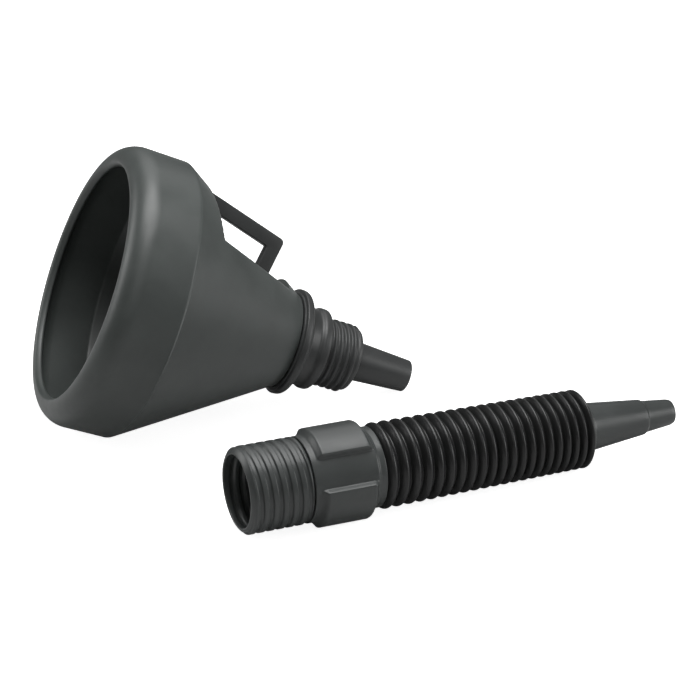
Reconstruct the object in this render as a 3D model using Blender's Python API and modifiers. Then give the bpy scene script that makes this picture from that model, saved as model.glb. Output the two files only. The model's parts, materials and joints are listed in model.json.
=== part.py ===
"""Fuel funnel with a strap handle, and its flexible screw-on spout lying beside it.

Units are metres, +Z is up. Each of the two assemblies is modelled in its own local
frame: the origin is the centre of its open mouth, local +Z points out of the mouth,
and every station is a depth below the mouth. Two empties then lay them on the ground.
"""
import math

import bpy
import bmesh
from mathutils import Matrix, Vector

MM = 0.001
FIT_GAP = 0.3 * MM            # clearance between neighbouring pieces
MERGE = 0.00001

# ---- funnel, radii and depths below the mouth -------------------------------------
MOUTH_R = 66.5 * MM           # inner edge of the rolled rim
RIM_R = 80.5 * MM             # widest point of the rim
BAND_R = 80.0 * MM            # straight band at its lower edge
BAND_DEPTH = 34.0 * MM        # where the band meets the cone
ROLL_DEPTH = 10.0 * MM        # where the rolled rim meets the band
ROLL_RISE = 3.0 * MM          # how far the roll stands above the mouth edge
WALL = 2.4 * MM
CONE_END_R = 27.5 * MM
CONE_END_DEPTH = 120.5 * MM
SPIGOT_R = 25.2 * MM          # lower end of the cone, pushed into the neck
SPIGOT_END_DEPTH = 124.5 * MM

# recess under the handle, cut into the side of the cone that faces +X: a flat floor, a top
# wall square to it, and a short end wall that leans outwards
RECESS_TOP_DEPTH = 53.6 * MM
RECESS_END_DEPTH = 109.3 * MM
RECESS_FLOOR_TOP_R = 40.6 * MM
RECESS_FLOOR_END_R = 27.7 * MM
END_WALL_LEAN = 1.0 / 6.0     # depth gained for each unit of height

# strap handle, in the local XZ plane
STRAP_DEEP = 8.5 * MM         # in the plane of the handle
STRAP_THICK = 6.0 * MM        # across it
HANDLE_ROOT_R = 69.6 * MM     # upper edge of the bar at its root
HANDLE_ROOT_DEPTH = 50.8 * MM
HANDLE_KNEE_R = 54.1 * MM     # outer corner of the knee
HANDLE_KNEE_DEPTH = 105.2 * MM
HANDLE_FOOT_DEPTH = 100.2 * MM  # outer edge of the leg at its foot
KNEE_ROUND = 3.0 * MM

# threaded neck and outlet
NECK_TOP_DEPTH = 121.3 * MM
COLLAR_A_R = 30.8 * MM
COLLAR_A_END = 126.5 * MM
COLLAR_B_R = 23.8 * MM
COLLAR_B_START = 136.5 * MM
COLLAR_B_END = 141.5 * MM
NECK_WAIST_R = 22.3 * MM
THREAD_ROOT_R = 18.3 * MM
THREAD_CREST_R = 19.9 * MM
THREAD_PITCH = 4.15 * MM
THREAD_START = 144.3 * MM
NECK_RIDGES = 4
NECK_END_DEPTH = 163.5 * MM
NECK_BORE_R = 14.0 * MM
OUTLET_ROOT_R = 11.5 * MM
OUTLET_END_R = 9.3 * MM
OUTLET_END_DEPTH = 199.2 * MM
OUTLET_WALL = 1.6 * MM
OUTLET_FLANGE_R = 13.6 * MM
OUTLET_FLANGE = 2.5 * MM

# ---- spout, radii and depths below the sleeve's mouth ------------------------------
SLEEVE_LIP_R = 20.4 * MM
SLEEVE_ROOT_R = 22.2 * MM
SLEEVE_CREST_R = 23.3 * MM
SLEEVE_BORE_R = 19.4 * MM
SLEEVE_TAIL_R = 21.2 * MM     # the plain tail inside the grip
SLEEVE_RIDGES = 6
SLEEVE_PITCH = 5.4 * MM
SLEEVE_LIP = 1.8 * MM
GRIP_START = 35.2 * MM        # front edge of the grip collar
LUG_START = 38.5 * MM
LUG_END = 71.0 * MM
GRIP_END = 76.5 * MM
GRIP_R = 23.2 * MM
GRIP_TAIL_R = 21.8 * MM
LUG_R = 26.5 * MM
LUG_CHAMFER = 2.8 * MM        # length of the slope at either end of a lug
LUG_COUNT = 3
LUG_ARC = math.radians(75)
BELLOWS_START = GRIP_END + FIT_GAP
CONVOLUTIONS = 21
PITCH_FRONT = 7.0 * MM        # convolutions close up towards the nozzle
PITCH_REAR = 4.85 * MM
CREST_FRONT_R = 23.3 * MM
CREST_REAR_R = 21.7 * MM
CONVOLUTION_DEEP = 3.4 * MM
BELLOWS_BORE_R = 15.0 * MM
LENGTHS = (("bellows_front", 0, 5), ("bellows_middle", 5, 16), ("bellows_rear", 16, 21))
NOZZLE_ROOT_R = 13.4 * MM
NOZZLE_SHOULDER = 3.0 * MM
NOZZLE_STEP_R = 9.85 * MM
NOZZLE_STEP = 34.5 * MM       # length of the wide taper
TIP_ROOT_R = 8.9 * MM
TIP_END_R = 7.2 * MM
TIP_LENGTH = 17.8 * MM
NOZZLE_WALL = 1.6 * MM

# ---- how the two lie on the ground --------------------------------------------------
FUNNEL_HEADING = math.radians(13.9)
FUNNEL_ROLL = math.radians(22)  # handle turned this far from straight up
SPOUT_HEADING = math.radians(23.9)
SPOUT_FROM_FUNNEL = (87.2 * MM, -131.6 * MM)

STEPS = 48                    # sides of the bowl
TUBE_STEPS = 32               # sides of the slimmer turned pieces
BELLOWS_STEPS = 24

OBJECT_NAME = "fuel_funnel"


def clear_scene():
    """Remove whatever the scene holds."""
    for old in list(bpy.data.objects):
        bpy.data.objects.remove(old)


def make_collection(name):
    """Add a collection to the scene."""
    made = bpy.data.collections.new(name)
    bpy.context.scene.collection.children.link(made)
    return made


def plastic(name, colour, roughness):
    """One moulded plastic."""
    made = bpy.data.materials.new(name)
    made.use_nodes = True
    shader = made.node_tree.nodes["Principled BSDF"]
    shader.inputs["Base Color"].default_value = (*colour, 1.0)
    shader.inputs["Roughness"].default_value = roughness
    shader.inputs["Metallic"].default_value = 0.0
    made.diffuse_color = (*colour, 1.0)
    return made


def mesh_object(name, points, edges, faces, collection, parent, material=None):
    """Link a new mesh object below an empty."""
    mesh = bpy.data.meshes.new(name)
    mesh.from_pydata(points, edges, faces)
    made = bpy.data.objects.new(name, mesh)
    collection.objects.link(made)
    made.parent = parent
    if material:
        mesh.materials.append(material)
    return made


def turn(piece, steps):
    """Turn a profile in the XZ plane about the local Z axis."""
    screw = piece.modifiers.new("Turn", "SCREW")
    screw.axis = "Z"
    screw.angle = 2 * math.pi
    screw.steps = steps
    screw.render_steps = steps
    screw.use_merge_vertices = True
    screw.merge_threshold = MERGE
    bake(piece)


def turned(name, outline, collection, parent, material=None, steps=TUBE_STEPS):
    """Turn a closed outline of (radius, depth) points into a ring.

    The outline runs down the outer side and comes back up the inner side.
    """
    points = [(radius, 0.0, -depth) for radius, depth in outline]
    count = len(points)
    edges = [(i, (i + 1) % count) for i in range(count)]
    made = mesh_object(name, points, edges, [], collection, parent, material)
    turn(made, steps)
    return made


def turned_solid(name, outline, collection, parent, material=None):
    """Turn an outline that starts and ends on the axis; its poles are welded."""
    points = [(radius, 0.0, -depth) for radius, depth in outline]
    edges = [(i, i + 1) for i in range(len(points) - 1)]
    made = mesh_object(name, points, edges, [], collection, parent, material)
    turn(made, STEPS)
    clean_shell(made)
    return made


def clean_shell(piece):
    """Weld doubled vertices and turn every face outwards."""
    shell = bmesh.new()
    shell.from_mesh(piece.data)
    bmesh.ops.remove_doubles(shell, verts=shell.verts, dist=MERGE)
    bmesh.ops.recalc_face_normals(shell, faces=shell.faces)
    shell.to_mesh(piece.data)
    shell.free()


def prism(name, outline, half_width, collection, parent, material=None):
    """Extrude an (x, z) outline to half_width on both sides of the XZ plane."""
    count = len(outline)
    points = [(x, -half_width, z) for x, z in outline] + [(x, half_width, z) for x, z in outline]
    faces = [tuple(range(count)), tuple(range(2 * count - 1, count - 1, -1))]
    faces += [(i, i + count, (i + 1) % count + count, (i + 1) % count) for i in range(count)]
    made = mesh_object(name, points, [], faces, collection, parent, material)
    clean_shell(made)
    return made


def as_cutter(piece):
    """Mark an object as a tool that isn't part of the model."""
    piece.hide_render = True
    piece.display_type = "WIRE"


def boolean(target, tool, operation):
    """Add an exact Boolean modifier."""
    cut = target.modifiers.new(operation.title(), "BOOLEAN")
    cut.operation = operation
    cut.solver = "EXACT"
    cut.object = tool


def bake(piece):
    """Replace an object's mesh by its evaluated one and drop the modifiers."""
    bpy.context.view_layer.update()
    graph = bpy.context.evaluated_depsgraph_get()
    baked = bpy.data.meshes.new_from_object(piece.evaluated_get(graph))
    piece.modifiers.clear()
    piece.data = baked
    return piece


def smooth(piece):
    """Shade a round piece smooth, with its real corners kept sharp."""
    piece.data.shade_smooth()
    piece.data.set_sharp_from_angle(angle=math.radians(35))


def arc(centre, radii, start, stop, count):
    """Points on a quarter of an ellipse, as (radius, depth); angles in degrees."""
    points = []
    for i in range(count + 1):
        angle = math.radians(start + (stop - start) * i / count)
        points.append((centre[0] + radii[0] * math.cos(angle), centre[1] - radii[1] * math.sin(angle)))
    return points


def ridges(start, pitch, count, root, crest):
    """Outline of round-topped thread ridges, from the mouth side down."""
    points = []
    for i in range(count):
        at = start + i * pitch
        points += [(root, at + 0.12 * pitch), (crest, at + 0.36 * pitch)]
        points += [(crest, at + 0.64 * pitch), (root, at + 0.88 * pitch)]
    return points


# ---- funnel -------------------------------------------------------------------------

def recess_lines():
    """Top and end of the recess floor in the XZ plane, and its unit direction downwards."""
    top = Vector((RECESS_FLOOR_TOP_R, -RECESS_TOP_DEPTH))
    end = Vector((RECESS_FLOOR_END_R, -RECESS_END_DEPTH))
    return top, end, (end - top).normalized()


def recess_outline(offset):
    """The recess in the XZ plane, grown by offset into the material."""
    top, end, along = recess_lines()
    outwards = Vector((-along.y, along.x))
    end_wall = Vector((1.0, -END_WALL_LEAN))
    foot_top = top - (along + outwards) * offset
    foot_end = end + (along - outwards) * offset
    corners = [foot_top, foot_top + outwards * 2 * RIM_R, foot_end + end_wall * 2 * RIM_R, foot_end]
    return [tuple(corner) for corner in corners]


def make_bowl(parts, cutters, parent, material):
    """Rolled rim, band, cone with the handle recess, and the spigot below."""
    roll_wide = RIM_R - 69.5 * MM
    roll_high = ROLL_DEPTH + ROLL_RISE
    roll_centre = (RIM_R - roll_wide, ROLL_DEPTH)
    outer = arc(roll_centre, (roll_wide, roll_high), 90, 0, 7)
    outer += [(BAND_R, BAND_DEPTH), (CONE_END_R, CONE_END_DEPTH - 1 * MM), (SPIGOT_R, CONE_END_DEPTH)]
    outer += [(SPIGOT_R, SPIGOT_END_DEPTH)]
    lip = [(MOUTH_R + 0.6 * MM, -1.6 * MM), (MOUTH_R, 0.0)]
    inner_end = SPIGOT_R - WALL
    cavity = [(MOUTH_R + 0.2 * MM, 1.4 * MM), (MOUTH_R + 2.0 * MM, 0.2 * MM)]
    cavity += arc(roll_centre, (roll_wide - WALL, roll_high - WALL), 80, 0, 6)
    cavity += [(BAND_R - WALL, BAND_DEPTH - 0.6 * MM), (CONE_END_R - WALL, CONE_END_DEPTH - 1.6 * MM)]
    cavity += [(inner_end, CONE_END_DEPTH + 1.0 * MM), (inner_end, SPIGOT_END_DEPTH)]

    # Outside: the filled outer shape less the recess.
    axis_top = [(0.0, -ROLL_RISE)]
    axis_end = [(0.0, SPIGOT_END_DEPTH)]
    bowl = turned_solid("bowl", axis_top + outer + axis_end, parts, parent, material)
    recess = prism("recess_cutter", recess_outline(0.0), 2 * RIM_R, cutters, parent)
    as_cutter(recess)
    boolean(bowl, recess, "DIFFERENCE")

    # Inside: the cavity stays one wall thickness away from the recess.
    above = [(0.0, -3 * ROLL_RISE), (MOUTH_R + 0.6 * MM, -3 * ROLL_RISE)]
    mouth = above + lip
    below = [(inner_end, SPIGOT_END_DEPTH + 5 * MM), (0.0, SPIGOT_END_DEPTH + 5 * MM)]
    hollow = turned_solid("cavity_cutter", mouth + cavity + below, cutters, parent)
    pocket = prism("pocket_cutter", recess_outline(WALL), 2 * RIM_R, cutters, parent)
    as_cutter(pocket)
    boolean(hollow, pocket, "DIFFERENCE")
    bake(hollow)
    as_cutter(hollow)
    boolean(bowl, hollow, "DIFFERENCE")
    bake(bowl)
    smooth(bowl)
    return bowl


def crossing(start, along, other, toward):
    """Point where two lines of the XZ plane meet."""
    apart = other - start
    turn_between = along.x * toward.y - along.y * toward.x
    return start + along * ((apart.x * toward.y - apart.y * toward.x) / turn_between)


def make_handle(parts, parent, material):
    """Flat strap: a bar from the recess wall, a knee, and a leg down to the recess floor."""
    floor_top, _, floor = recess_lines()
    wall = Vector((-floor.y, floor.x))
    wall_point = floor_top + floor * FIT_GAP
    floor_point = floor_top + wall * FIT_GAP
    root = Vector((HANDLE_ROOT_R, -HANDLE_ROOT_DEPTH))
    knee = Vector((HANDLE_KNEE_R, -HANDLE_KNEE_DEPTH))
    foot = crossing(Vector((0.0, -HANDLE_FOOT_DEPTH)), Vector((1.0, 0.0)), floor_point, floor)
    bar = (knee - root).normalized()
    leg = (foot - knee).normalized()
    bar_inside = root + Vector((bar.y, -bar.x)) * STRAP_DEEP
    leg_inside = knee + Vector((leg.y, -leg.x)) * STRAP_DEEP

    before = knee - bar * KNEE_ROUND
    after = knee + leg * KNEE_ROUND
    rounding = []
    for i in range(5):
        share = i / 4
        rounding.append(before.lerp(knee, share).lerp(knee.lerp(after, share), share))
    outline = [crossing(root, bar, wall_point, wall)] + rounding
    outline += [foot, crossing(leg_inside, leg, floor_point, floor)]
    outline += [crossing(bar_inside, bar, leg_inside, leg), crossing(bar_inside, bar, wall_point, wall)]
    return prism("handle", [tuple(point) for point in outline], STRAP_THICK / 2, parts, parent, material)


def make_neck(parts, parent, material):
    """Neck that holds the cone's spigot and carries two rings and the thread."""
    socket_r = SPIGOT_R + FIT_GAP
    seat = SPIGOT_END_DEPTH + FIT_GAP
    outer = [(socket_r + 2.2 * MM, NECK_TOP_DEPTH - 0.8 * MM)]
    outer += [(COLLAR_A_R - 0.6 * MM, NECK_TOP_DEPTH + 0.4 * MM)]
    outer += [(COLLAR_A_R, NECK_TOP_DEPTH + 2.4 * MM), (COLLAR_A_R - 0.6 * MM, COLLAR_A_END - 1 * MM)]
    outer += [(COLLAR_A_R - 3 * MM, COLLAR_A_END + 0.6 * MM)]
    outer += [(NECK_WAIST_R + 1.2 * MM, COLLAR_A_END + 2.2 * MM)]
    outer += [(NECK_WAIST_R, COLLAR_B_START - 2 * MM), (COLLAR_B_R - 1 * MM, COLLAR_B_START)]
    outer += [(COLLAR_B_R, COLLAR_B_START + 2 * MM), (COLLAR_B_R, COLLAR_B_END - 2 * MM)]
    outer += [(COLLAR_B_R - 1.4 * MM, COLLAR_B_END - 0.2 * MM), (THREAD_ROOT_R, COLLAR_B_END + 1 * MM)]
    outer += ridges(THREAD_START, THREAD_PITCH, NECK_RIDGES, THREAD_ROOT_R, THREAD_CREST_R)
    outer += [(THREAD_ROOT_R - 1.5 * MM, NECK_END_DEPTH - 0.5 * MM), (THREAD_ROOT_R - 3 * MM, NECK_END_DEPTH)]
    hole = OUTLET_ROOT_R + FIT_GAP
    flange_seat = NECK_END_DEPTH - 3.0 * MM
    inner = [(hole, NECK_END_DEPTH), (hole, flange_seat), (NECK_BORE_R, flange_seat)]
    inner += [(NECK_BORE_R, COLLAR_B_START + 1 * MM), (SPIGOT_R - WALL, seat), (socket_r, seat)]
    inner += [(socket_r, NECK_TOP_DEPTH - 0.8 * MM)]
    neck = turned("neck", outer + inner, parts, parent, material)
    smooth(neck)
    return neck


def make_outlet(parts, parent, material):
    """Slim tapered tube whose inner flange rests in the neck."""
    seat = NECK_END_DEPTH - 3.0 * MM - FIT_GAP
    outer = [(OUTLET_FLANGE_R, seat - OUTLET_FLANGE), (OUTLET_FLANGE_R, seat), (OUTLET_ROOT_R, seat)]
    outer += [(OUTLET_ROOT_R, NECK_END_DEPTH), (OUTLET_END_R, OUTLET_END_DEPTH)]
    inner = [(OUTLET_END_R - OUTLET_WALL, OUTLET_END_DEPTH), (OUTLET_ROOT_R - OUTLET_WALL, NECK_END_DEPTH)]
    inner += [(OUTLET_ROOT_R - OUTLET_WALL, seat - OUTLET_FLANGE + 1 * MM)]
    inner += [(OUTLET_ROOT_R - OUTLET_WALL + 1 * MM, seat - OUTLET_FLANGE)]
    tube = turned("outlet_tube", outer + inner, parts, parent, material)
    smooth(tube)
    return tube


# ---- spout --------------------------------------------------------------------------

def make_sleeve(parts, parent, material):
    """Thin threaded sleeve that screws over the neck; its tail runs inside the grip."""
    outer = [(SLEEVE_LIP_R, 0.0), (SLEEVE_ROOT_R, 1.4 * MM)]
    outer += ridges(SLEEVE_LIP, SLEEVE_PITCH, SLEEVE_RIDGES, SLEEVE_ROOT_R, SLEEVE_CREST_R)
    outer += [(SLEEVE_TAIL_R, GRIP_START - 0.5 * MM), (SLEEVE_TAIL_R, LUG_END)]
    inner = [(SLEEVE_BORE_R, LUG_END), (SLEEVE_BORE_R, 0.0)]
    sleeve = turned("threaded_sleeve", outer + inner, parts, parent, material)
    smooth(sleeve)
    return sleeve


def make_grip(parts, cutters, parent, material):
    """Grip collar with three wide lugs, one of them at local +X."""
    bore = SLEEVE_TAIL_R + FIT_GAP
    back = LUG_END + FIT_GAP
    outer = [(GRIP_R - 0.5 * MM, GRIP_START), (GRIP_R, GRIP_START + 0.6 * MM), (GRIP_R, LUG_END + 0.5 * MM)]
    outer += [(GRIP_TAIL_R, LUG_END + 1.5 * MM), (GRIP_TAIL_R, GRIP_END - 0.6 * MM)]
    outer += [(GRIP_TAIL_R - 0.6 * MM, GRIP_END)]
    inner = [(BELLOWS_BORE_R, GRIP_END), (BELLOWS_BORE_R, back), (bore, back), (bore, GRIP_START)]
    grip = turned("grip_collar", outer + inner, parts, parent, material)
    for i in range(LUG_COUNT):
        lug = make_lug(i, cutters, parent)
        boolean(grip, lug, "UNION")
        bake(grip)
    smooth(grip)
    return grip


def make_lug(index, cutters, parent):
    """One lug: an arc-shaped block with drafted sides and chamfered ends."""
    middle = 2 * math.pi * index / LUG_COUNT
    inside = GRIP_R - 0.8 * MM
    arcs = 8
    foot_flare = math.radians(3.5)
    levels = ((LUG_START, GRIP_R + 0.3 * MM), (LUG_START + LUG_CHAMFER, LUG_R))
    levels += ((LUG_END - LUG_CHAMFER, LUG_R), (LUG_END, GRIP_R + 0.3 * MM))
    rings = []
    for depth, top_r in levels:
        ring = []
        for i in range(arcs + 1):
            angle = middle + LUG_ARC * (i / arcs - 0.5)
            ring.append((top_r, angle))
        for i in range(arcs, -1, -1):
            angle = middle + (LUG_ARC + 2 * foot_flare) * (i / arcs - 0.5)
            ring.append((inside, angle))
        rings.append([(r * math.cos(a), r * math.sin(a), -depth) for r, a in ring])
    count = len(rings[0])
    points = [point for ring in rings for point in ring]
    faces = []
    for level in range(len(rings) - 1):
        for i in range(count):
            j = (i + 1) % count
            base, following = level * count, (level + 1) * count
            faces.append((base + i, base + j, following + j, following + i))
    for start in (0, (len(rings) - 1) * count):
        for i in range(arcs):
            quad = (start + i, start + i + 1, start + count - 2 - i, start + count - 1 - i)
            faces.append(quad)
    lug = mesh_object(f"lug_tool_{index + 1}", points, [], faces, cutters, parent)
    clean_shell(lug)
    as_cutter(lug)
    return lug


def convolution_start(index):
    """Depth of the valley before a convolution; the pitch shrinks evenly to the rear."""
    change = (PITCH_REAR - PITCH_FRONT) / (CONVOLUTIONS - 1)
    return BELLOWS_START + index * PITCH_FRONT + change * index * (index - 1) / 2


def crest_radius(depth):
    """Radius of the crests, which taper evenly from front to rear."""
    share = (depth - BELLOWS_START) / (convolution_start(CONVOLUTIONS) - BELLOWS_START)
    return CREST_FRONT_R + share * (CREST_REAR_R - CREST_FRONT_R)


def make_bellows(name, first, last, parts, parent, material):
    """One length of the bellows, from valley to valley."""
    outer = []
    for index in range(first, last):
        start, stop = convolution_start(index), convolution_start(index + 1)
        pitch = stop - start
        crest = crest_radius((start + stop) / 2)
        valley = crest - CONVOLUTION_DEEP
        head = start + (FIT_GAP if index == first and first > 0 else 0.0)
        outer += [(valley, head), (crest - 0.3 * MM, start + 0.36 * pitch)]
        outer += [(crest, start + 0.5 * pitch), (crest - 0.3 * MM, start + 0.64 * pitch)]
    end = convolution_start(last)
    outer.append((crest_radius(end) - CONVOLUTION_DEEP, end))
    begin = outer[0][1]
    inner = [(BELLOWS_BORE_R, end), (BELLOWS_BORE_R, begin)]
    made = turned(name, outer + inner, parts, parent, material, steps=BELLOWS_STEPS)
    smooth(made)
    return made


def make_nozzle(parts, parent, material):
    """Tapered nozzle with a step and a narrower tip."""
    root = convolution_start(CONVOLUTIONS) + FIT_GAP
    shoulder = root + NOZZLE_SHOULDER
    step = shoulder + NOZZLE_STEP
    tip = step + 1.2 * MM + TIP_LENGTH
    outer = [(NOZZLE_ROOT_R + 3.5 * MM, root), (NOZZLE_ROOT_R + 3.2 * MM, root + 1.4 * MM)]
    outer += [(NOZZLE_ROOT_R, shoulder), (NOZZLE_STEP_R, step), (TIP_ROOT_R, step + 1.2 * MM)]
    outer += [(TIP_END_R, tip)]
    inner = [(TIP_END_R - NOZZLE_WALL, tip), (TIP_ROOT_R - NOZZLE_WALL, step + 0.4 * MM)]
    inner += [(NOZZLE_STEP_R - NOZZLE_WALL, step - 1 * MM), (NOZZLE_ROOT_R - NOZZLE_WALL, root)]
    nozzle = turned("nozzle", outer + inner, parts, parent, material)
    smooth(nozzle)
    return nozzle


# ---- placing ------------------------------------------------------------------------

def lay_down(name, collection, heading, pitch, roll, place):
    """An empty whose local +Z points out of the mouth of an assembly lying on its side."""
    empty = bpy.data.objects.new(name, None)
    collection.objects.link(empty)
    turn = Matrix.Rotation(heading, 4, "Z")
    tilt = Matrix.Rotation(pitch - math.pi / 2, 4, "Y")
    spin = Matrix.Rotation(roll, 4, "Z")
    empty.matrix_world = Matrix.Translation(place) @ turn @ tilt @ spin
    return empty


def funnel_rest():
    """Pitch and mouth height of the funnel lying on its band edge and its outlet."""
    pitch = math.atan2(BAND_R - OUTLET_END_R, OUTLET_END_DEPTH - BAND_DEPTH)
    return pitch, BAND_DEPTH * math.sin(pitch) + BAND_R * math.cos(pitch)


def spout_rest():
    """Pitch and mouth height of the spout lying on two lugs and its last convolution."""
    gap_half_angle = math.pi / LUG_COUNT - LUG_ARC / 2
    on_lugs = LUG_R * math.cos(gap_half_angle)
    heel = LUG_END - LUG_CHAMFER
    last = (convolution_start(CONVOLUTIONS - 1) + convolution_start(CONVOLUTIONS)) / 2
    pitch = math.atan2(on_lugs - crest_radius(last), last - heel)
    return pitch, heel * math.sin(pitch) + on_lugs * math.cos(pitch)


def centre_on_origin(parts, roots):
    """Shift both assemblies so that the whole stands on z = 0, centred on the origin."""
    bpy.context.view_layer.update()
    corners = [piece.matrix_world @ vertex.co for piece in parts.objects
               if piece.type == "MESH" for vertex in piece.data.vertices]
    low = Vector([min(point[i] for point in corners) for i in range(3)])
    high = Vector([max(point[i] for point in corners) for i in range(3)])
    shift = Vector(((low.x + high.x) / 2, (low.y + high.y) / 2, low.z))
    for root in roots:
        root.matrix_world = Matrix.Translation(-shift) @ root.matrix_world
    bpy.context.view_layer.update()


def main():
    """Build the funnel and the spout and lay them side by side."""
    clear_scene()
    parts = make_collection(OBJECT_NAME)
    cutters = make_collection("cutters")
    bowl_plastic = plastic("bowl_plastic", (0.072, 0.080, 0.078), 0.42)
    neck_plastic = plastic("neck_plastic", (0.045, 0.047, 0.048), 0.5)
    sleeve_plastic = plastic("sleeve_plastic", (0.066, 0.072, 0.071), 0.4)
    bellows_plastic = plastic("bellows_plastic", (0.014, 0.014, 0.014), 0.5)

    pitch, height = funnel_rest()
    funnel = lay_down("funnel_axis", parts, FUNNEL_HEADING, pitch, FUNNEL_ROLL, Vector((0.0, 0.0, height)))
    pitch, height = spout_rest()
    spout_place = Vector((*SPOUT_FROM_FUNNEL, height))
    spout = lay_down("spout_axis", parts, SPOUT_HEADING, pitch, 0.0, spout_place)

    make_bowl(parts, cutters, funnel, bowl_plastic)
    make_handle(parts, funnel, neck_plastic)
    make_neck(parts, funnel, neck_plastic)
    make_outlet(parts, funnel, neck_plastic)
    make_sleeve(parts, spout, sleeve_plastic)
    make_grip(parts, cutters, spout, sleeve_plastic)
    for name, first, last in LENGTHS:
        make_bellows(name, first, last, parts, spout, bellows_plastic)
    make_nozzle(parts, spout, sleeve_plastic)
    centre_on_origin(parts, (funnel, spout))


main()
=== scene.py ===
"""Looks of the fuel funnel and its flexible screw-on spout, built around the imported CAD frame.

Each assembly has its own local frame, taken from the record's mounts: the origin is the
centre of its open mouth, local +Z points out of the mouth, and local +X lies in the plane
of the handle (funnel) or through the middle of one lug (spout). Stations are depths below
the mouth, in metres.
"""

import json
import math

import bpy
import bmesh
from mathutils import Matrix, Vector


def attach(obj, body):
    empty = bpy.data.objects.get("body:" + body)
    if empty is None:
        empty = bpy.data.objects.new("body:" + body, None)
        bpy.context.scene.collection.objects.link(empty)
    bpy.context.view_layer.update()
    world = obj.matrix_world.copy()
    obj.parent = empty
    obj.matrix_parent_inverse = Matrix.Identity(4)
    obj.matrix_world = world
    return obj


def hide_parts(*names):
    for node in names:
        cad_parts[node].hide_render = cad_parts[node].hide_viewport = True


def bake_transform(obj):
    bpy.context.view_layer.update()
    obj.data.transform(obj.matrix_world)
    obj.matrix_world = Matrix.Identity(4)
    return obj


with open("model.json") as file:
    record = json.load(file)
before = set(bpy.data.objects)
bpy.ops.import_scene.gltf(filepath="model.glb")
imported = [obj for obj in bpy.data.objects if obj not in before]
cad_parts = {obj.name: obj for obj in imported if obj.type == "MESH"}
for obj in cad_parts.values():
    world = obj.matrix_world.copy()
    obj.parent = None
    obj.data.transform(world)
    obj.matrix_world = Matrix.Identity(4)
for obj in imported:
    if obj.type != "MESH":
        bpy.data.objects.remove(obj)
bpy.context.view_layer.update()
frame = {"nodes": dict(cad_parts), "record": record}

MM = 0.001
TAU = 2 * math.pi
GAP = 0.3 * MM                # clearance between pieces that fit into each other
FILLET_STEPS = 5              # stretches in a rounded corner
CORNER_SHARE = 0.48           # most of an outline's side that one rounded corner takes
LOOP_SHARE = 0.45             # the same for the strap's loop

# ---- funnel ----------------------------------------------------------------------------
MOUTH_R = 66.5 * MM
RIM_R = 80.5 * MM
ROLL_INNER_R = 69.5 * MM      # crown of the rolled rim
ROLL_DEPTH = 10.0 * MM
ROLL_RISE = 3.0 * MM
BAND_R = 80.0 * MM
BAND_DEPTH = 34.0 * MM
BAND_ROW = 0.9 * MM           # longest stretch of the band's outline
CREASE_FILLET = 0.5 * MM
CREASE_RISE = 2.0 * MM        # the inner crease is this much nearer the mouth
WALL = 2.4 * MM
CONE_END_R = 27.5 * MM
CONE_END_DEPTH = 120.5 * MM
SPIGOT_R = 25.2 * MM
SPIGOT_END_DEPTH = 124.5 * MM

RECESS_TOP_DEPTH = 53.6 * MM  # foot of the wall that the bar springs from
RECESS_TOP_R = 40.6 * MM
RECESS_END_DEPTH = 109.3 * MM
RECESS_END_R = 27.7 * MM
RECESS_SLOPE = (RECESS_END_R - RECESS_TOP_R) / (RECESS_END_DEPTH - RECESS_TOP_DEPTH)
RECESS_TOP_FILLET = 3.0 * MM  # between the floor and the wall at the bar
RECESS_END_FILLET = 1.5 * MM  # between the floor and the end wall
RECESS_RIM_FILLET = 1.6 * MM
INNER_RIM_FILLET = 2.0 * MM   # the same rim on the bowl's inside
RECESS_ZONE = (40.0 * MM, 116.0 * MM)      # depths that hold the whole recess
RECESS_FACING = 0.1           # cosine of the widest angle from the handle's plane
END_WALL_SLOPE = 6.0          # rise of the drafted end wall for each unit of depth

STRAP_DEEP = 8.5 * MM
STRAP_THICK = 6.0 * MM
STRAP_EDGE = 0.7 * MM         # rounding of the long edges
STRAP_SHARP = 50              # degrees past which an edge of the strap stays hard
HANDLE_ROOT_R = 69.6 * MM
HANDLE_ROOT_DEPTH = 50.8 * MM
HANDLE_KNEE_R = 54.1 * MM
HANDLE_KNEE_DEPTH = 105.2 * MM
HANDLE_FOOT_DEPTH = 100.2 * MM
ROOT_SINK = 5.2 * MM          # how far the bar runs on into the bowl
FOOT_SINK = 1.2 * MM          # how far the leg runs on into the bowl
KNEE_FILLET = 3.0 * MM
KNEE_INSIDE_FILLET = 0.5 * MM
BURIED_FILLET = 1.4 * MM      # corners inside the bowl's wall, kept above STRAP_EDGE

NECK_TOP_DEPTH = 121.3 * MM
COLLAR_A_R = 30.8 * MM
COLLAR_A_END = 126.5 * MM
WAIST_R = 22.3 * MM
COLLAR_B_R = 23.8 * MM
COLLAR_B_START = 136.5 * MM
COLLAR_B_END = 141.5 * MM
NECK_ROOT_R = 18.3 * MM
NECK_CREST_R = 19.9 * MM
NECK_PITCH = 4.15 * MM
NECK_THREAD_START = 144.3 * MM
NECK_THREAD_END = 160.9 * MM
NECK_THREAD_PHASE = 2.3 * MM
NECK_END_DEPTH = 163.5 * MM
NECK_BORE_R = 14.0 * MM
OUTLET_ROOT_R = 11.5 * MM
OUTLET_END_R = 9.3 * MM
OUTLET_END_DEPTH = 199.2 * MM
OUTLET_WALL = 1.6 * MM
OUTLET_SEAT = 3.0 * MM        # depth of the neck's seat for the outlet tube
OUTLET_TUCK = 2.4 * MM        # length of the tube above that seat

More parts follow.
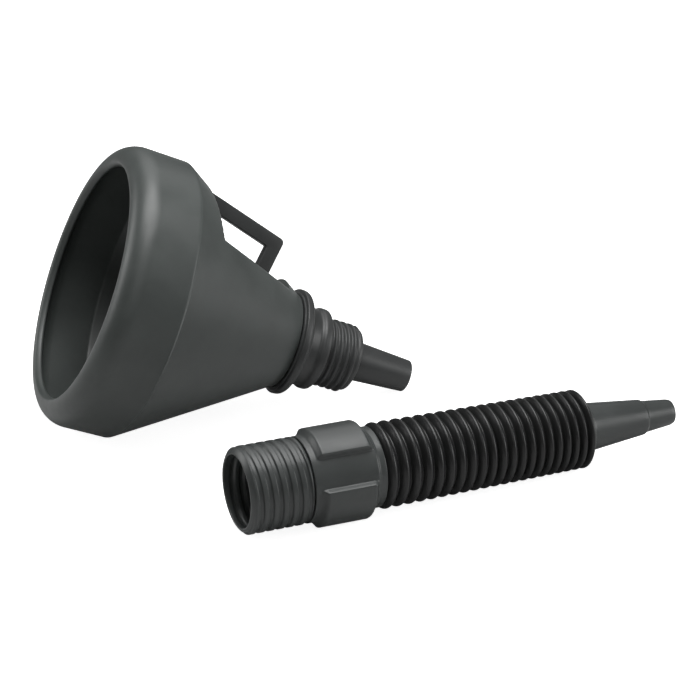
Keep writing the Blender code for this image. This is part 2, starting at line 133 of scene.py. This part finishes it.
# ---- spout -----------------------------------------------------------------------------
SLEEVE_LIP_R = 20.4 * MM
SLEEVE_ROOT_R = 22.2 * MM
SLEEVE_CREST_R = 23.3 * MM
SLEEVE_BORE_R = 19.4 * MM
SLEEVE_TAIL_R = 21.2 * MM
SLEEVE_PITCH = 5.4 * MM
SLEEVE_THREAD_END = 34.4 * MM
SLEEVE_THREAD_PHASE = 3.0 * MM
SLEEVE_GROOVE = 1.0 * MM      # depth of the thread inside
SLEEVE_GROOVE_END = 38.0 * MM
GRIP_START = 35.2 * MM
GRIP_R = 23.2 * MM
GRIP_TAIL_R = 21.8 * MM
GRIP_END = 76.5 * MM
LUG_START = 38.5 * MM
LUG_END = 71.0 * MM
LUG_CHAMFER = 2.8 * MM
LUG_R = 26.5 * MM
LUG_COUNT = 3
LUG_HALF = math.radians(37.5)
LUG_SIDE = math.radians(3.5)
BELLOWS_START = 76.8 * MM
CONVOLUTIONS = 21
PITCH_FRONT = 7.0 * MM
PITCH_REAR = 4.85 * MM
CREST_FRONT_R = 23.3 * MM
CREST_REAR_R = 21.7 * MM
CONVOLUTION_DEEP = 3.8 * MM
BELLOWS_WALL = 1.6 * MM
MIDDLE_VALLEY = 10            # valley where the two halves of the bellows meet
BELLOWS_BORE_R = 15.0 * MM
CREST_SHARPNESS = 0.95        # power of the sine; a larger one narrows the crests
CREST_SAMPLES = 18            # rows in each convolution
NOZZLE_ROOT_R = 13.4 * MM
NOZZLE_STEP_R = 9.85 * MM
NOZZLE_STEP_DEPTH = 239.0 * MM
TIP_ROOT_R = 8.9 * MM
TIP_END_R = 7.2 * MM
TIP_DEPTH = 258.0 * MM
NOZZLE_WALL = 1.6 * MM

# ---- plastic ---------------------------------------------------------------------------
NOISE_LOW, NOISE_HIGH = 0.3, 0.7           # the range that nearly all noise values lie in
GLOSS_SPREAD = 0.05
GRAIN_HEIGHT = 0.4 * MM

# ---- camera and light ------------------------------------------------------------------
LENS = 137.97
SENSOR_WIDTH = 36.0
ELEVATION = math.radians(24.91)
DISTANCE = 1.44
LOOK_FROM_MOUTH = Vector((0.1459, -0.0532))   # the point looked at, from the funnel's mouth
LOOK_HEIGHT = 0.0702
CLIP_START = 0.05
FLOOR_SIZE = 8.0
LIT_POINT = (0.0, 0.0, 0.05)
LIGHTS = (                    # name, place, side of the square and power in watts
    ("key", (0.05, 0.05, 1.1), 0.8, 12.0),
    ("left", (-1.2, 0.3, 0.55), 0.7, 5.0),
    ("right", (1.3, -0.15, 0.40), 0.7, 6.0),
    ("back", (0.0, 0.8, 0.9), 0.8, 2.2),
    ("front", (0.0, -1.0, 0.9), 0.8, 1.5),
)
WORLD_STRENGTH = 0.01


# ---- local frames ----------------------------------------------------------------------

def mount(name):
    """A mount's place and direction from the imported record."""
    found = [m for m in frame["record"]["mounts"] if m["name"] == name][0]
    return Vector(found["pos_m"]), Vector(found["axis"]).normalized()


def node_centre(node):
    """Mean of a turned node's corners, each counted once, which lies on its axis."""
    corners = {tuple(round(x, 6) for x in v.co) for v in frame["nodes"][node].data.vertices}
    return sum((Vector(c) for c in corners), Vector()) / len(corners)


def local_frame(place, axis, node, depth):
    """Frame with +Z along axis and +X towards place; its origin is depth beyond place."""
    foot = node_centre(node)
    foot = foot + axis * (place - foot).dot(axis)
    x = (place - foot).normalized()
    y = axis.cross(x)
    turn = Matrix((x, y, axis)).transposed().to_4x4()
    return Matrix.Translation(foot + axis * depth) @ turn


place, down = mount("outlet_end")
FUNNEL = local_frame(place, -down, "outlet_tube", OUTLET_END_DEPTH)
place, out = mount("sleeve_mouth")
SPOUT = local_frame(place, out, "threaded_sleeve", 0.0)


def at(place_frame, depth):
    """World point on an assembly's axis."""
    return place_frame @ Vector((0.0, 0.0, -depth))


# ---- mesh helpers ----------------------------------------------------------------------

def clamp01(x):
    """Keep a value between 0 and 1."""
    return min(1.0, max(0.0, x))


def smoothstep(edge_a, edge_b, x):
    """0 at edge_a, 1 at edge_b, with soft ends."""
    t = clamp01((x - edge_a) / (edge_b - edge_a))
    return t * t * (3 - 2 * t)


def soft_min(a, b, width):
    """The smaller of two values, rounded where they cross."""
    h = clamp01(0.5 + 0.5 * (b - a) / width)
    return b + (a - b) * h - width * h * (1 - h)


def soft_max(a, b, width):
    """The larger of two values, rounded where they cross."""
    return -soft_min(-a, -b, width)


def new_piece(name, points, faces, material, sharp=None):
    """A mesh object in world coordinates, shaded smooth; sharp is where edges turn hard."""
    mesh = bpy.data.meshes.new(name)
    mesh.from_pydata(points, [], faces)
    mesh.validate()
    shell = bmesh.new()
    shell.from_mesh(mesh)
    bmesh.ops.recalc_face_normals(shell, faces=shell.faces)
    shell.to_mesh(mesh)
    shell.free()
    mesh.shade_smooth()
    if sharp:
        mesh.set_sharp_from_angle(angle=math.radians(sharp))
    mesh.materials.append(material)
    made = bpy.data.objects.new(name, mesh)
    bpy.context.scene.collection.objects.link(made)
    return made


def rounded_corner(back, here, ahead, fillet, share, steps):
    """A curve in place of the corner here; it takes at most share of either side."""
    reach = min(fillet, share * (back - here).length, share * (ahead - here).length)
    start = here + (back - here).normalized() * reach
    stop = here + (ahead - here).normalized() * reach
    times = [k / steps for k in range(steps + 1)]
    return [start.lerp(here, t).lerp(here.lerp(stop, t), t) for t in times]


def filleted(corners, steps=FILLET_STEPS):
    """Round the corners of an outline of (radius, depth, fillet) points."""
    outline = []
    last = len(corners) - 1
    for i, (radius, depth, fillet) in enumerate(corners):
        here = Vector((radius, depth))
        if fillet <= 0 or i in (0, last):
            outline.append((radius, depth))
            continue
        back = Vector(corners[i - 1][:2])
        ahead = Vector(corners[i + 1][:2])
        curve = rounded_corner(back, here, ahead, fillet, CORNER_SHARE, steps)
        outline += [(point.x, point.y) for point in curve]
    return outline


def spaced(outline, longest):
    """Divide the stretches of an outline that are over the longest allowed."""
    dense = [outline[0]]
    for (r0, d0), (r1, d1) in zip(outline, outline[1:]):
        parts = max(1, math.ceil(math.hypot(r1 - r0, d1 - d0) / longest))
        for k in range(1, parts + 1):
            dense.append((r0 + (r1 - r0) * k / parts, d0 + (d1 - d0) * k / parts))
    return dense


def turned_piece(name, place_frame, outer, inner, material, segments,
                 relief=None, inner_relief=None):
    """Ring whose outer outline runs down and whose inner outline runs back up.

    relief(radius, depth, angle) may change the outer radius, inner_relief the inner one.
    """
    rows = [(r, d, relief) for r, d in outer] + [(r, d, inner_relief) for r, d in inner]
    points = []
    for radius, depth, change in rows:
        for k in range(segments):
            angle = TAU * k / segments
            r = change(radius, depth, angle) if change else radius
            points.append(place_frame @ Vector((r * math.cos(angle), r * math.sin(angle), -depth)))
    faces = []
    count = len(rows)
    for i in range(count):
        j = (i + 1) % count
        for k in range(segments):
            m = (k + 1) % segments
            faces.append((i * segments + k, i * segments + m, j * segments + m, j * segments + k))
    return new_piece(name, points, faces, material)


def helix(start, stop, pitch, height, land, flank, offset):
    """Relief of a right-handed thread that rises by height and fades out at both ends.

    land is the share of the pitch that the flat top of the crest takes, flank the share
    of its two flanks; the groove takes the rest. offset moves the thread to more depth.
    """
    run_in = 0.3 * pitch
    run_out = 0.4 * pitch

    def relief(radius, depth, angle):
        phase = ((depth - start - offset) / pitch + angle / TAU) % 1.0
        across = abs(phase - 0.5) * 2
        rise = 1 - smoothstep(land, land + flank, across)
        fade = smoothstep(start, start + run_in, depth)
        fade *= 1 - smoothstep(stop - run_out, stop, depth)
        return radius + height * rise * fade
    return relief


# ---- materials -------------------------------------------------------------------------

def noise(tree, scale, detail, rough=0.5):
    """3-D noise in the piece's own coordinates."""
    coords = tree.nodes.new("ShaderNodeTexCoord")
    made = tree.nodes.new("ShaderNodeTexNoise")
    made.inputs["Scale"].default_value = scale
    made.inputs["Detail"].default_value = detail
    made.inputs["Roughness"].default_value = rough
    tree.links.new(coords.outputs["Object"], made.inputs["Vector"])
    return made


def ramp(tree, source, low, high, start, stop):
    """Map a noise value onto a range of colours or numbers."""
    made = tree.nodes.new("ShaderNodeMapRange")
    made.inputs["From Min"].default_value = start
    made.inputs["From Max"].default_value = stop
    made.inputs["To Min"].default_value = low
    made.inputs["To Max"].default_value = high
    tree.links.new(source, made.inputs["Value"])
    return made.outputs["Result"]


def blended(tree, factor, first, second):
    """Mix two colours by a factor socket."""
    made = tree.nodes.new("ShaderNodeMix")
    made.data_type = "RGBA"
    tree.links.new(factor, made.inputs["Factor"])
    made.inputs["A"].default_value = (*first, 1.0)
    made.inputs["B"].default_value = (*second, 1.0)
    return made.outputs["Result"]


def moulded(name, colour, roughness, grain=0.05, cloud=0.10):
    """Moulded plastic: faint clouding in the colour, uneven gloss and a fine moulded grain."""
    made = bpy.data.materials.new(name)
    made.use_nodes = True
    tree = made.node_tree
    shader = tree.nodes["Principled BSDF"]
    clouds = noise(tree, scale=34.0, detail=4.0, rough=0.55)
    share = ramp(tree, clouds.outputs["Fac"], 0.0, 1.0, NOISE_LOW, NOISE_HIGH)
    dark = [c * (1 - cloud) for c in colour]
    light = [c * (1 + cloud) for c in colour]
    tree.links.new(blended(tree, share, dark, light), shader.inputs["Base Color"])
    patches = noise(tree, scale=70.0, detail=5.0, rough=0.6)
    gloss = ramp(tree, patches.outputs["Fac"], roughness - GLOSS_SPREAD,
                 roughness + GLOSS_SPREAD, NOISE_LOW, NOISE_HIGH)
    tree.links.new(gloss, shader.inputs["Roughness"])
    fine = noise(tree, scale=1500.0, detail=2.0)
    bump = tree.nodes.new("ShaderNodeBump")
    bump.inputs["Strength"].default_value = grain
    bump.inputs["Distance"].default_value = GRAIN_HEIGHT
    tree.links.new(fine.outputs["Fac"], bump.inputs["Height"])
    tree.links.new(bump.outputs["Normal"], shader.inputs["Normal"])
    return made


BOWL_PLASTIC = moulded("bowl_plastic", (0.068, 0.076, 0.073), roughness=0.40)
NECK_PLASTIC = moulded("neck_plastic", (0.043, 0.045, 0.045), roughness=0.42)
SLEEVE_PLASTIC = moulded("sleeve_plastic", (0.056, 0.061, 0.060), roughness=0.36)
BELLOWS_PLASTIC = moulded("bellows_plastic", (0.013, 0.0136, 0.0136), roughness=0.38,
                          grain=0.10, cloud=0.2)


# ---- bowl ------------------------------------------------------------------------------

def arc(centre, radii, start, stop, count):
    """Points on an ellipse as (radius, depth); angles in degrees from the outward radius."""
    points = []
    for i in range(count + 1):
        angle = math.radians(start + (stop - start) * i / count)
        points.append((centre[0] + radii[0] * math.cos(angle),
                       centre[1] - radii[1] * math.sin(angle)))
    return points


def recess_height(depth, offset):
    """Height over the axis of the recess's floor and walls, grown inwards by offset."""
    shift = offset * math.hypot(1, RECESS_SLOPE)
    floor = RECESS_TOP_R + RECESS_SLOPE * (depth - RECESS_TOP_DEPTH) - shift
    wall = RECESS_TOP_R - offset + (RECESS_TOP_DEPTH - shift - depth) / -RECESS_SLOPE
    end_start = RECESS_END_DEPTH + offset
    end_wall = RECESS_END_R - offset + (depth - end_start) * END_WALL_SLOPE
    lower = soft_max(floor, wall, RECESS_TOP_FILLET)
    return soft_max(lower, end_wall, RECESS_END_FILLET)


def with_recess(offset, width):
    """Relief that lowers a radius to the recess, with the rim of the recess rounded."""
    def relief(radius, depth, angle):
        facing = math.cos(angle)
        if facing < RECESS_FACING or not RECESS_ZONE[0] <= depth <= RECESS_ZONE[1]:
            return radius
        return soft_min(radius, recess_height(depth, offset) / facing, width)
    return relief


def dense_cone(start, stop):
    """A cone wall from start to stop, with close rows at the recess's end wall."""
    close, wide = 0.22 * MM, 0.8 * MM
    rows = []
    depth = start[1]
    while depth < stop[1]:
        rows.append(depth)
        beyond = depth - RECESS_END_DEPTH
        depth += close if -2 * MM < beyond < 4 * MM else wide
    rows.append(stop[1])
    span = stop[1] - start[1]
    return [(start[0] + (stop[0] - start[0]) * (d - start[1]) / span, d) for d in rows]


def make_bowl():
    """Rolled rim, band, cone with the recess, and the spigot inside the neck."""
    roll_wide = RIM_R - ROLL_INNER_R
    roll_high = ROLL_DEPTH + ROLL_RISE
    centre = (ROLL_INNER_R, ROLL_DEPTH)
    lip_outside = [(MOUTH_R + 0.25 * MM, -0.5 * MM), (MOUTH_R + 0.9 * MM, -1.7 * MM)]
    outer = lip_outside + arc(centre, (roll_wide, roll_high), start=96, stop=0, count=26)
    on_cone = (BAND_R - 11 * MM, BAND_DEPTH + 18.1 * MM)
    band = filleted([(RIM_R, ROLL_DEPTH, 0), (BAND_R, BAND_DEPTH, CREASE_FILLET),
                     (*on_cone, 0)], steps=3)
    outer += spaced(band[:-1], BAND_ROW)[1:]
    cone_foot = (CONE_END_R + 0.4 * MM, CONE_END_DEPTH - 1.4 * MM)
    outer += dense_cone(outer[-1], cone_foot)
    outer += filleted([(*cone_foot, 0), (CONE_END_R, CONE_END_DEPTH, 1.2 * MM),
                       (SPIGOT_R, CONE_END_DEPTH, 0)])[1:]
    outer += [(SPIGOT_R, SPIGOT_END_DEPTH)]
    inner_r = SPIGOT_R - WALL
    inner = [(inner_r, SPIGOT_END_DEPTH), (inner_r, CONE_END_DEPTH + 1 * MM)]
    cone_top = (BAND_R - WALL, BAND_DEPTH - CREASE_RISE)
    inner += dense_cone(cone_top, (CONE_END_R - WALL, CONE_END_DEPTH - 1.6 * MM))[::-1]
    roll = arc(centre, (roll_wide - WALL, roll_high - WALL), start=0, stop=90, count=20)
    inner += spaced([cone_top, roll[0]], BAND_ROW)[1:-1] + roll
    lip_inside = [(MOUTH_R + 1.6 * MM, 0.3 * MM), (MOUTH_R + 0.5 * MM, 1.1 * MM)]
    inner += lip_inside + [(MOUTH_R, 0.4 * MM)]
    bowl = turned_piece("bowl_shell", FUNNEL, outer, inner, BOWL_PLASTIC, segments=288,
                        relief=with_recess(0.0, RECESS_RIM_FILLET),
                        inner_relief=with_recess(WALL, INNER_RIM_FILLET))
    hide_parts("bowl")
    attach(bowl, "funnel")


# ---- handle ----------------------------------------------------------------------------

def crossing(start, along, other, toward):
    """Point where two lines meet."""
    apart = other - start
    between = along.x * toward.y - along.y * toward.x
    return start + along * ((apart.x * toward.y - apart.y * toward.x) / between)


def rounded_loop(corners):
    """Closed loop of Vectors with each (point, fillet) corner rounded."""
    loop = []
    for i, (here, fillet) in enumerate(corners):
        back = corners[i - 1][0]
        ahead = corners[(i + 1) % len(corners)][0]
        loop += rounded_corner(back, here, ahead, fillet, LOOP_SHARE, FILLET_STEPS)
    return loop


def spaced_loop(loop, longest):
    """Divide the stretches of a closed loop that are over the longest allowed."""
    dense = []
    for here, ahead in zip(loop, loop[1:] + loop[:1]):
        parts = max(1, math.ceil((ahead - here).length / longest))
        dense += [here.lerp(ahead, k / parts) for k in range(parts)]
    return dense


def inset_loop(loop, inset):
    """Move a counter-clockwise or clockwise loop inwards by inset."""
    area = sum(a.x * b.y - b.x * a.y for a, b in zip(loop, loop[1:] + loop[:1]))
    sign = 1.0 if area > 0 else -1.0
    moved = []
    for i, here in enumerate(loop):
        before = (here - loop[i - 1]).normalized()
        after = (loop[(i + 1) % len(loop)] - here).normalized()
        along = (before + after).normalized()
        moved.append(here + Vector((-along.y, along.x)) * sign * inset)
    return moved


def strap_loop():
    """Side view of the strap as Vectors of radius and height: bar, knee and leg."""
    root = Vector((HANDLE_ROOT_R, -HANDLE_ROOT_DEPTH))
    knee = Vector((HANDLE_KNEE_R, -HANDLE_KNEE_DEPTH))
    foot_r = RECESS_TOP_R + RECESS_SLOPE * (HANDLE_FOOT_DEPTH - RECESS_TOP_DEPTH)
    foot = Vector((foot_r, -HANDLE_FOOT_DEPTH))
    bar = (knee - root).normalized()
    leg = (foot - knee).normalized()
    bar_inside = root + Vector((bar.y, -bar.x)) * STRAP_DEEP
    leg_inside = knee + Vector((leg.y, -leg.x)) * STRAP_DEEP
    wall_point = root - bar * ROOT_SINK
    wall_way = Vector((1.0, -RECESS_SLOPE)).normalized()
    floor_point = foot - Vector((1.0, 0.0)) * FOOT_SINK
    floor_way = Vector((RECESS_SLOPE, -1.0))
    corners = [
        (crossing(knee, bar, wall_point, wall_way), BURIED_FILLET),
        (knee, KNEE_FILLET),
        (crossing(knee, leg, floor_point, floor_way), BURIED_FILLET),
        (crossing(leg_inside, leg, floor_point, floor_way), BURIED_FILLET),
        (crossing(bar_inside, bar, leg_inside, leg), KNEE_INSIDE_FILLET),
        (crossing(bar_inside, bar, wall_point, wall_way), BURIED_FILLET),
    ]
    return spaced_loop(rounded_loop(corners), 3 * MM)


def strap_profile():
    """Levels across the strap as (distance from its middle, inset of the loop)."""
    flat = STRAP_THICK / 2 - STRAP_EDGE
    quarter = [math.radians(90 * k / 4) for k in range(5)]
    side = [(flat + STRAP_EDGE * math.sin(a), STRAP_EDGE * (1 - math.cos(a))) for a in quarter]
    return [(-y, inset) for y, inset in reversed(side)] + side


def make_handle():
    """Flat strap with rounded edges."""
    loop = strap_loop()
    profile = strap_profile()
    points = []
    for y, inset in profile:
        for point in inset_loop(loop, inset):
            points.append(FUNNEL @ Vector((point.x, y, point.y)))
    count = len(loop)
    faces = [tuple(range(count)), tuple(range(len(points) - 1, len(points) - count - 1, -1))]
    for level in range(len(profile) - 1):
        for i in range(count):
            j = (i + 1) % count
            base, above = level * count, (level + 1) * count
            faces.append((base + i, base + j, above + j, above + i))
    handle = new_piece("handle_strap", points, faces, NECK_PLASTIC, sharp=STRAP_SHARP)
    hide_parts("handle")
    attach(handle, "funnel")


# ---- neck and outlet -------------------------------------------------------------------

def make_neck():
    """Two rings, a groove between them, and the thread."""
    socket = SPIGOT_R + GAP
    seat = SPIGOT_END_DEPTH + GAP
    top = NECK_TOP_DEPTH - 0.3 * MM
    outer = filleted([
        (socket, top, 0),
        (COLLAR_A_R - 2.6 * MM, top, 0.8 * MM),
        (COLLAR_A_R - 2.0 * MM, NECK_TOP_DEPTH + 0.6 * MM, 0.5 * MM),
        (COLLAR_A_R, NECK_TOP_DEPTH + 0.8 * MM, 1.0 * MM),              # first ring
        (COLLAR_A_R - 0.3 * MM, COLLAR_A_END, 2.0 * MM),
        (WAIST_R + 1.4 * MM, COLLAR_A_END + 2.2 * MM, 1.6 * MM),        # groove
        (WAIST_R, COLLAR_B_START - 1.2 * MM, 1.4 * MM),
        (COLLAR_B_R, COLLAR_B_START + 0.6 * MM, 1.4 * MM),              # second ring
        (COLLAR_B_R - 0.2 * MM, COLLAR_B_END, 1.6 * MM),
        (NECK_ROOT_R, COLLAR_B_END + 0.7 * MM, 0.8 * MM),               # threaded part
        (NECK_ROOT_R, NECK_END_DEPTH - 0.2 * MM, 1.6 * MM),
        (OUTLET_ROOT_R + 0.4 * MM, NECK_END_DEPTH, 0),
    ])
    outer = spaced(outer, 0.35 * MM)
    tube_seat = NECK_END_DEPTH - OUTLET_SEAT
    tube_hole = OUTLET_ROOT_R + 0.2 * MM
    inner = [(tube_hole, NECK_END_DEPTH), (tube_hole, tube_seat)]
    inner += [(NECK_BORE_R, tube_seat), (NECK_BORE_R, COLLAR_B_START + 1 * MM)]
    inner += [(SPIGOT_R - WALL, seat), (socket, seat)]
    thread = helix(NECK_THREAD_START, NECK_THREAD_END + 1.0 * MM, NECK_PITCH,
                   NECK_CREST_R - NECK_ROOT_R, land=0.15, flank=0.65, offset=NECK_THREAD_PHASE)
    neck = turned_piece("neck_body", FUNNEL, outer, inner, NECK_PLASTIC, segments=144,
                        relief=thread)
    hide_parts("neck")
    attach(neck, "funnel")


def make_outlet():
    """Slim tapered tube with a rounded end."""
    seat = NECK_END_DEPTH - OUTLET_SEAT - GAP
    top = seat - OUTLET_TUCK
    outer = filleted([
        (OUTLET_ROOT_R, seat, 0),
        (OUTLET_ROOT_R, NECK_END_DEPTH, 0.2 * MM),
        (OUTLET_END_R, OUTLET_END_DEPTH, 0.6 * MM),
        (OUTLET_END_R - OUTLET_WALL, OUTLET_END_DEPTH, 0.5 * MM),
        (OUTLET_ROOT_R - OUTLET_WALL, NECK_END_DEPTH, 0),
    ])
    outer = spaced(outer, 4 * MM)
    inner = [(OUTLET_ROOT_R - OUTLET_WALL, top), (OUTLET_ROOT_R, top)]
    tube = turned_piece("outlet_pipe", FUNNEL, outer, inner, NECK_PLASTIC, segments=96)
    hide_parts("outlet_tube")
    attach(tube, "funnel")


# ---- sleeve and grip -------------------------------------------------------------------

def make_sleeve():
    """Thin threaded sleeve; the same thread shows on its inside."""
    outer = filleted([
        (SLEEVE_BORE_R + 0.3 * MM, 0.0, 0),
        (SLEEVE_LIP_R, 0.0, 0.4 * MM),
        (SLEEVE_ROOT_R - 0.4 * MM, 0.9 * MM, 0.5 * MM),
        (SLEEVE_ROOT_R, 1.4 * MM, 0.5 * MM),
        (SLEEVE_ROOT_R, SLEEVE_THREAD_END, 0.3 * MM),
        (SLEEVE_TAIL_R, SLEEVE_THREAD_END + 0.4 * MM, 0.2 * MM),
        (SLEEVE_TAIL_R, LUG_END, 0),
    ])
    outer = spaced(outer, 0.2 * MM)
    inner = spaced([(SLEEVE_BORE_R, LUG_END), (SLEEVE_BORE_R, 0.4 * MM)], 0.5 * MM)
    ridge = helix(0.9 * MM, SLEEVE_THREAD_END + 1.0 * MM, SLEEVE_PITCH,
                  SLEEVE_CREST_R - SLEEVE_ROOT_R, land=0.42, flank=0.26,
                  offset=SLEEVE_THREAD_PHASE)
    groove = helix(1.0 * MM, SLEEVE_GROOVE_END, SLEEVE_PITCH, SLEEVE_GROOVE, land=0.3,
                   flank=0.34, offset=SLEEVE_THREAD_PHASE)
    sleeve = turned_piece("threaded_shell", SPOUT, outer, inner, SLEEVE_PLASTIC, segments=160,
                          relief=ridge, inner_relief=groove)
    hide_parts("threaded_sleeve")
    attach(sleeve, "spout")


def lugs(radius, depth, angle):
    """Relief of the three wide lugs, with drafted sides and chamfered ends."""
    turn = TAU / LUG_COUNT
    off = abs((angle + turn / 2) % turn - turn / 2)
    side = 1 - smoothstep(LUG_HALF - 0.2 * LUG_SIDE, LUG_HALF + LUG_SIDE, off)
    front = smoothstep(LUG_START - 0.3 * MM, LUG_START + LUG_CHAMFER + 0.3 * MM, depth)
    back = 1 - smoothstep(LUG_END - LUG_CHAMFER - 0.3 * MM, LUG_END + 0.1 * MM, depth)
    return radius + (LUG_R - GRIP_R) * side * front * back


def make_grip():
    """Grip collar with three lugs and a slimmer tail against the bellows."""
    bore = SLEEVE_TAIL_R + GAP
    step = LUG_END + GAP
    outer = filleted([
        (bore, GRIP_START, 0),
        (GRIP_R, GRIP_START, 0.6 * MM),
        (GRIP_R, LUG_END + 0.5 * MM, 0.7 * MM),
        (GRIP_TAIL_R, LUG_END + 1.5 * MM, 0.6 * MM),
        (GRIP_TAIL_R, GRIP_END, 0.7 * MM),
        (BELLOWS_BORE_R, GRIP_END, 0),
    ])
    outer = spaced(outer, 0.6 * MM)
    inner = [(BELLOWS_BORE_R, step), (bore, step)]
    grip = turned_piece("grip_shell", SPOUT, outer, inner, SLEEVE_PLASTIC, segments=480,
                        relief=lugs)
    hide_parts("grip_collar")
    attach(grip, "spout")


# ---- bellows and nozzle ----------------------------------------------------------------

def convolution_start(index):
    """Depth of the valley before a convolution; the pitch shrinks evenly to the rear."""
    change = (PITCH_REAR - PITCH_FRONT) / (CONVOLUTIONS - 1)
    return BELLOWS_START + index * PITCH_FRONT + change * index * (index - 1) / 2


def crest_radius(depth):
    """Radius of the crests, which taper evenly from front to rear."""
    share = (depth - BELLOWS_START) / (convolution_start(CONVOLUTIONS) - BELLOWS_START)
    return CREST_FRONT_R + share * (CREST_REAR_R - CREST_FRONT_R)


def bellows_outline(first, last):
    """Rounded crests that meet in sharp valleys, from valley first to valley last."""
    outline = []
    for index in range(first, last):
        start, stop = convolution_start(index), convolution_start(index + 1)
        for k in range(CREST_SAMPLES):
            phase = k / CREST_SAMPLES
            swell = math.sin(math.pi * phase) ** CREST_SHARPNESS
            depth = start + phase * (stop - start)
            outline.append((crest_radius(depth) - CONVOLUTION_DEEP * (1 - swell), depth))
    end = convolution_start(last)
    outline.append((crest_radius(end) - CONVOLUTION_DEEP, end))
    return outline


def make_bellows(name, first, last, nodes):
    """One half of the bellows, from valley first to valley last, baked into world coordinates."""
    outer = bellows_outline(first, last)
    inner = [(r - BELLOWS_WALL, d) for r, d in reversed(outer)]
    piece = turned_piece(name, SPOUT, outer, inner, BELLOWS_PLASTIC, segments=112)
    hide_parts(*nodes)
    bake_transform(piece)


def make_nozzle():
    """Base ring, long taper, step and slim tip."""
    root = convolution_start(CONVOLUTIONS) + GAP
    shoulder = root + 3 * MM
    outer = filleted([
        (NOZZLE_ROOT_R - NOZZLE_WALL, root, 0),
        (NOZZLE_ROOT_R + 3.5 * MM, root, 0.5 * MM),
        (NOZZLE_ROOT_R + 3.2 * MM, root + 1.4 * MM, 0.7 * MM),
        (NOZZLE_ROOT_R + 0.6 * MM, root + 2.0 * MM, 1.0 * MM),
        (NOZZLE_ROOT_R, shoulder, 1.0 * MM),                            # long taper
        (NOZZLE_STEP_R, NOZZLE_STEP_DEPTH, 0.5 * MM),
        (TIP_ROOT_R, NOZZLE_STEP_DEPTH + 1.2 * MM, 0.5 * MM),           # tip
        (TIP_END_R + 0.1 * MM, TIP_DEPTH - 2.0 * MM, 1.2 * MM),
        (TIP_END_R - 0.6 * MM, TIP_DEPTH, 0.7 * MM),
        (TIP_END_R - NOZZLE_WALL, TIP_DEPTH, 0.6 * MM),
        (TIP_ROOT_R - NOZZLE_WALL, NOZZLE_STEP_DEPTH + 0.4 * MM, 0),
    ])
    outer = spaced(outer, 4 * MM)
    inner = [(NOZZLE_STEP_R - NOZZLE_WALL, NOZZLE_STEP_DEPTH - 1 * MM)]
    nozzle = turned_piece("nozzle_shell", SPOUT, outer, inner, SLEEVE_PLASTIC, segments=96)
    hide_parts("nozzle")
    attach(nozzle, "spout_end")


# ---- stage -----------------------------------------------------------------------------

def floor_plane(name, height, albedo, glow, seen):
    """A matt plane that either the camera or only the light sees."""
    bpy.ops.mesh.primitive_plane_add(size=FLOOR_SIZE, location=(0, 0, height))
    floor = bpy.context.object
    floor.name = name
    made = bpy.data.materials.new(name)
    made.use_nodes = True
    shader = made.node_tree.nodes["Principled BSDF"]
    shader.inputs["Base Color"].default_value = (albedo, albedo, albedo, 1.0)
    shader.inputs["Roughness"].default_value = 1.0
    shader.inputs["Specular IOR Level"].default_value = 0.0
    shader.inputs["Emission Color"].default_value = (1.0, 1.0, 1.0, 1.0)
    shader.inputs["Emission Strength"].default_value = glow
    floor.data.materials.append(made)
    floor.visible_camera = seen
    floor.visible_diffuse = not seen
    floor.visible_glossy = not seen
    floor.visible_transmission = not seen
    floor.visible_shadow = not seen


def make_floor():
    """A plain pale floor; a second, unseen one below it sets the soft light from underneath."""
    floor_plane("floor", height=-0.5 * MM, albedo=0.85, glow=0.90, seen=True)
    floor_plane("bounce", height=-1.0 * MM, albedo=0.55, glow=0.0, seen=False)


def area_light(name, place, size, power):
    """A square softbox aimed at the middle of the stage."""
    data = bpy.data.lights.new(name, "AREA")
    data.energy = power
    data.size = size
    light = bpy.data.objects.new(name, data)
    light.location = place
    light.rotation_euler = (Vector(LIT_POINT) - Vector(place)).to_track_quat("-Z", "Y").to_euler()
    bpy.context.scene.collection.objects.link(light)


def make_lights():
    """Overhead softbox, weaker ones on all four sides, and dim surroundings."""
    for name, place, size, power in LIGHTS:
        area_light(name, place, size, power)
    world = bpy.data.worlds.new("studio")
    world.use_nodes = True
    background = world.node_tree.nodes["Background"]
    background.inputs["Color"].default_value = (1.0, 1.0, 1.0, 1.0)
    background.inputs["Strength"].default_value = WORLD_STRENGTH
    bpy.context.scene.world = world


def make_camera():
    """Level camera looking along +Y from above."""
    mouth = at(FUNNEL, 0.0)
    data = bpy.data.cameras.new("camera")
    data.lens = LENS
    data.sensor_width = SENSOR_WIDTH
    data.clip_start = CLIP_START
    camera = bpy.data.objects.new("camera", data)
    camera.location = (mouth.x + LOOK_FROM_MOUTH.x,
                       mouth.y + LOOK_FROM_MOUTH.y - DISTANCE * math.cos(ELEVATION),
                       LOOK_HEIGHT + DISTANCE * math.sin(ELEVATION))
    camera.rotation_euler = (math.pi / 2 - ELEVATION, 0.0, 0.0)
    bpy.context.scene.collection.objects.link(camera)
    bpy.context.scene.camera = camera


# ---- everything ------------------------------------------------------------------------

make_bowl()
make_handle()
make_neck()
make_outlet()
make_sleeve()
make_grip()
make_bellows("bellows_front_half", 0, MIDDLE_VALLEY,
             ["bellows_front", "bellows_middle"])
make_bellows("bellows_rear_half", MIDDLE_VALLEY, CONVOLUTIONS,
             ["bellows_rear"])
make_nozzle()
make_floor()
make_lights()
make_camera()
bpy.context.scene.view_settings.view_transform = "Standard"
